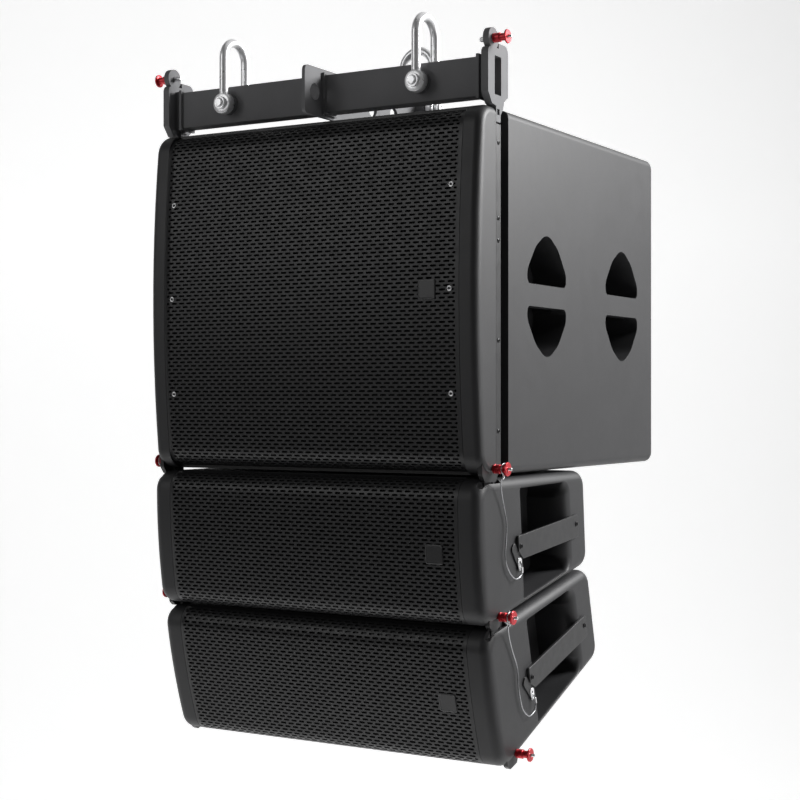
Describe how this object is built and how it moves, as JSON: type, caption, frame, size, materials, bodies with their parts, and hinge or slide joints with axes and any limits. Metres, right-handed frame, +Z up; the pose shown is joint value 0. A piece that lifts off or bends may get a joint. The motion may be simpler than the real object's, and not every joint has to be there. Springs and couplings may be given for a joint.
{
  "type": "line array speaker",
  "caption": "Flown line array: a flybar on bow shackles carrying a subwoofer cabinet and splayed line array modules, joined by red ball lock pins.",
  "frame": {"origin": "centre of the flybar's crossbar, between the bolts of its two front shackles", "axes": "+X to the right seen from the front, +Y towards the back, +Z up"},
  "size_m": [0.682, 0.713, 1.2009],
  "materials": {
    "cabinet": "black textured paint on plywood",
    "module_shell": "black textured paint on plywood",
    "grille": "black powder coat",
    "black_steel": "black powder coat",
    "galvanised_steel": "bright zinc",
    "red_anodised": "red anodised",
    "pin_steel": "bright",
    "driver_frame": "black",
    "cone_paper": "matt paper",
    "horn_plastic": "matt"
  },
  "bodies": {
    "root": {"flybar_beam": "black_steel", "flybar_side_plate_left": "black_steel", "flybar_side_plate_right": "black_steel", "sub_cabinet": "cabinet", "sub_grille": "grille", "sub_rigging_bar_left": "black_steel", "sub_rigging_bar_right": "black_steel", "sub_woofer_frame": "driver_frame", "sub_connector_panel": "black_steel"},
    "sub_cone": {"sub_woofer_cone": "cone_paper"},
    "module_1": {"module_1_shell": "module_shell", "module_1_grille": "grille", "module_1_horn_driver": "horn_plastic", "module_1_rigging_bar_left": "black_steel", "module_1_rigging_bar_right": "black_steel", "module_1_handle_bar_left": "black_steel", "module_1_handle_bar_right": "black_steel", "module_1_woofer_frame_left": "driver_frame", "module_1_woofer_frame_right": "driver_frame", "lanyard_1_left": "galvanised_steel", "lanyard_1_right": "galvanised_steel"},
    "module_2": {"module_2_shell": "module_shell", "module_2_grille": "grille", "module_2_horn_driver": "horn_plastic", "module_2_rigging_bar_left": "black_steel", "module_2_rigging_bar_right": "black_steel", "module_2_handle_bar_left": "black_steel", "module_2_handle_bar_right": "black_steel", "module_2_woofer_frame_left": "driver_frame", "module_2_woofer_frame_right": "driver_frame", "lanyard_2_left": "galvanised_steel", "lanyard_2_right": "galvanised_steel"},
    "rear_link_1": {"module_1_rear_link": "black_steel"},
    "rear_link_2": {"module_2_rear_link": "black_steel"},
    "module_1_cone_left": {"module_1_woofer_cone_left": "cone_paper"},
    "module_1_cone_right": {"module_1_woofer_cone_right": "cone_paper"},
    "module_2_cone_left": {"module_2_woofer_cone_left": "cone_paper"},
    "module_2_cone_right": {"module_2_woofer_cone_right": "cone_paper"},
    "pin_flybar_left": {"pin_flybar_left": "red_anodised"},
    "pin_flybar_left_button": {"pin_flybar_left_button": "pin_steel"},
    "pin_flybar_right": {"pin_flybar_right": "red_anodised"},
    "pin_flybar_right_button": {"pin_flybar_right_button": "pin_steel"},
    "pin_sub_left": {"pin_sub_left": "red_anodised"},
    "pin_sub_left_button": {"pin_sub_left_button": "pin_steel"},
    "pin_sub_right": {"pin_sub_right": "red_anodised"},
    "pin_sub_right_button": {"pin_sub_right_button": "pin_steel"},
    "pin_module_1_left": {"pin_module_1_left": "red_anodised"},
    "pin_module_1_left_button": {"pin_module_1_left_button": "pin_steel"},
    "pin_module_1_right": {"pin_module_1_right": "red_anodised"},
    "pin_module_1_right_button": {"pin_module_1_right_button": "pin_steel"},
    "pin_module_2_left": {"pin_module_2_left": "red_anodised"},
    "pin_module_2_left_button": {"pin_module_2_left_button": "pin_steel"},
    "pin_module_2_right": {"pin_module_2_right": "red_anodised"},
    "pin_module_2_right_button": {"pin_module_2_right_button": "pin_steel"},
    "shackle_front_left": {"shackle_front_left_bow": "galvanised_steel", "shackle_front_left_bolt": "galvanised_steel"},
    "shackle_front_right": {"shackle_front_right_bow": "galvanised_steel", "shackle_front_right_bolt": "galvanised_steel"},
    "shackle_rear": {"shackle_rear_bow": "galvanised_steel", "shackle_rear_bolt": "galvanised_steel"}
  },
  "joints": [
    {"name": "splay_module_1", "type": "hinge", "parent": "root", "child": "module_1", "pos_m": [0, -0.015, -0.597], "axis": [1, 0, 0], "range_deg": [-5, 0]},
    {"name": "splay_module_2", "type": "hinge", "parent": "module_1", "child": "module_2", "pos_m": [0, 0.00478, -0.82314], "axis": [1, 0, 0], "range_deg": [-10, 0]},
    {"name": "rear_link_1", "type": "hinge", "parent": "module_1", "child": "rear_link_1", "pos_m": [0, 0.28926, -0.63262], "axis": [1, 0, 0], "range_deg": [0, 5]},
    {"name": "rear_link_2", "type": "hinge", "parent": "module_2", "child": "rear_link_2", "pos_m": [0, 0.31061, -0.80538], "axis": [1, 0, 0], "range_deg": [0, 10]},
    {"name": "sub_cone", "type": "slide", "parent": "root", "child": "sub_cone", "axis": [0, 1, 0], "range_m": [-0.005, 0.005], "stiffness_N_per_m": 6000},
    {"name": "module_1_cone_left", "type": "slide", "parent": "module_1", "child": "module_1_cone_left", "axis": [0, 0.9962, 0.0872], "range_m": [-0.005, 0.005], "stiffness_N_per_m": 2500},
    {"name": "module_1_cone_right", "type": "slide", "parent": "module_1", "child": "module_1_cone_right", "axis": [0, 0.9962, 0.0872], "range_m": [-0.005, 0.005], "stiffness_N_per_m": 2500},
    {"name": "module_2_cone_left", "type": "slide", "parent": "module_2", "child": "module_2_cone_left", "axis": [0, 0.9659, 0.2588], "range_m": [-0.005, 0.005], "stiffness_N_per_m": 2500},
    {"name": "module_2_cone_right", "type": "slide", "parent": "module_2", "child": "module_2_cone_right", "axis": [0, 0.9659, 0.2588], "range_m": [-0.005, 0.005], "stiffness_N_per_m": 2500},
    {"name": "pin_flybar_left", "type": "slide", "parent": "root", "child": "pin_flybar_left", "axis": [-1, 0, 0], "range_m": [0, 0.03]},
    {"name": "pin_flybar_left_button", "type": "slide", "parent": "pin_flybar_left", "child": "pin_flybar_left_button", "axis": [1, 0, 0], "range_m": [0, 0.002], "stiffness_N_per_m": 400},
    {"name": "pin_flybar_right", "type": "slide", "parent": "root", "child": "pin_flybar_right", "axis": [1, 0, 0], "range_m": [0, 0.03]},
    {"name": "pin_flybar_right_button", "type": "slide", "parent": "pin_flybar_right", "child": "pin_flybar_right_button", "axis": [-1, 0, 0], "range_m": [0, 0.002], "stiffness_N_per_m": 400},
    {"name": "pin_sub_left", "type": "slide", "parent": "root", "child": "pin_sub_left", "axis": [-1, 0, 0], "range_m": [0, 0.03]},
    {"name": "pin_sub_left_button", "type": "slide", "parent": "pin_sub_left", "child": "pin_sub_left_button", "axis": [1, 0, 0], "range_m": [0, 0.002], "stiffness_N_per_m": 400},
    {"name": "pin_sub_right", "type": "slide", "parent": "root", "child": "pin_sub_right", "axis": [1, 0, 0], "range_m": [0, 0.03]},
    {"name": "pin_sub_right_button", "type": "slide", "parent": "pin_sub_right", "child": "pin_sub_right_button", "axis": [-1, 0, 0], "range_m": [0, 0.002], "stiffness_N_per_m": 400},
    {"name": "pin_module_1_left", "type": "slide", "parent": "module_1", "child": "pin_module_1_left", "axis": [-1, 0, 0], "range_m": [0, 0.03]},
    {"name": "pin_module_1_left_button", "type": "slide", "parent": "pin_module_1_left", "child": "pin_module_1_left_button", "axis": [1, 0, 0], "range_m": [0, 0.002], "stiffness_N_per_m": 400},
    {"name": "pin_module_1_right", "type": "slide", "parent": "module_1", "child": "pin_module_1_right", "axis": [1, 0, 0], "range_m": [0, 0.03]},
    {"name": "pin_module_1_right_button", "type": "slide", "parent": "pin_module_1_right", "child": "pin_module_1_right_button", "axis": [-1, 0, 0], "range_m": [0, 0.002], "stiffness_N_per_m": 400},
    {"name": "pin_module_2_left", "type": "slide", "parent": "module_2", "child": "pin_module_2_left", "axis": [-1, 0, 0], "range_m": [0, 0.03]},
    {"name": "pin_module_2_left_button", "type": "slide", "parent": "pin_module_2_left", "child": "pin_module_2_left_button", "axis": [1, 0, 0], "range_m": [0, 0.002], "stiffness_N_per_m": 400},
    {"name": "pin_module_2_right", "type": "slide", "parent": "module_2", "child": "pin_module_2_right", "axis": [1, 0, 0], "range_m": [0, 0.03]},
    {"name": "pin_module_2_right_button", "type": "slide", "parent": "pin_module_2_right", "child": "pin_module_2_right_button", "axis": [-1, 0, 0], "range_m": [0, 0.002], "stiffness_N_per_m": 400},
    {"name": "shackle_front_left", "type": "hinge", "parent": "root", "child": "shackle_front_left", "pos_m": [-0.184, -0.001, 0], "axis": [0, 1, 0], "range_deg": [-65, 65]},
    {"name": "shackle_front_right", "type": "hinge", "parent": "root", "child": "shackle_front_right", "pos_m": [0.184, -0.001, 0], "axis": [0, 1, 0], "range_deg": [-65, 65]},
    {"name": "shackle_rear", "type": "hinge", "parent": "root", "child": "shackle_rear", "pos_m": [0, 0.298, 0.024], "axis": [1, 0, 0], "range_deg": [-70, 70]}
  ],
  "couplings": [
    {"joint": "rear_link_1", "follows": "splay_module_1", "ratio": -1},
    {"joint": "rear_link_2", "follows": "splay_module_2", "ratio": -1}
  ]
}
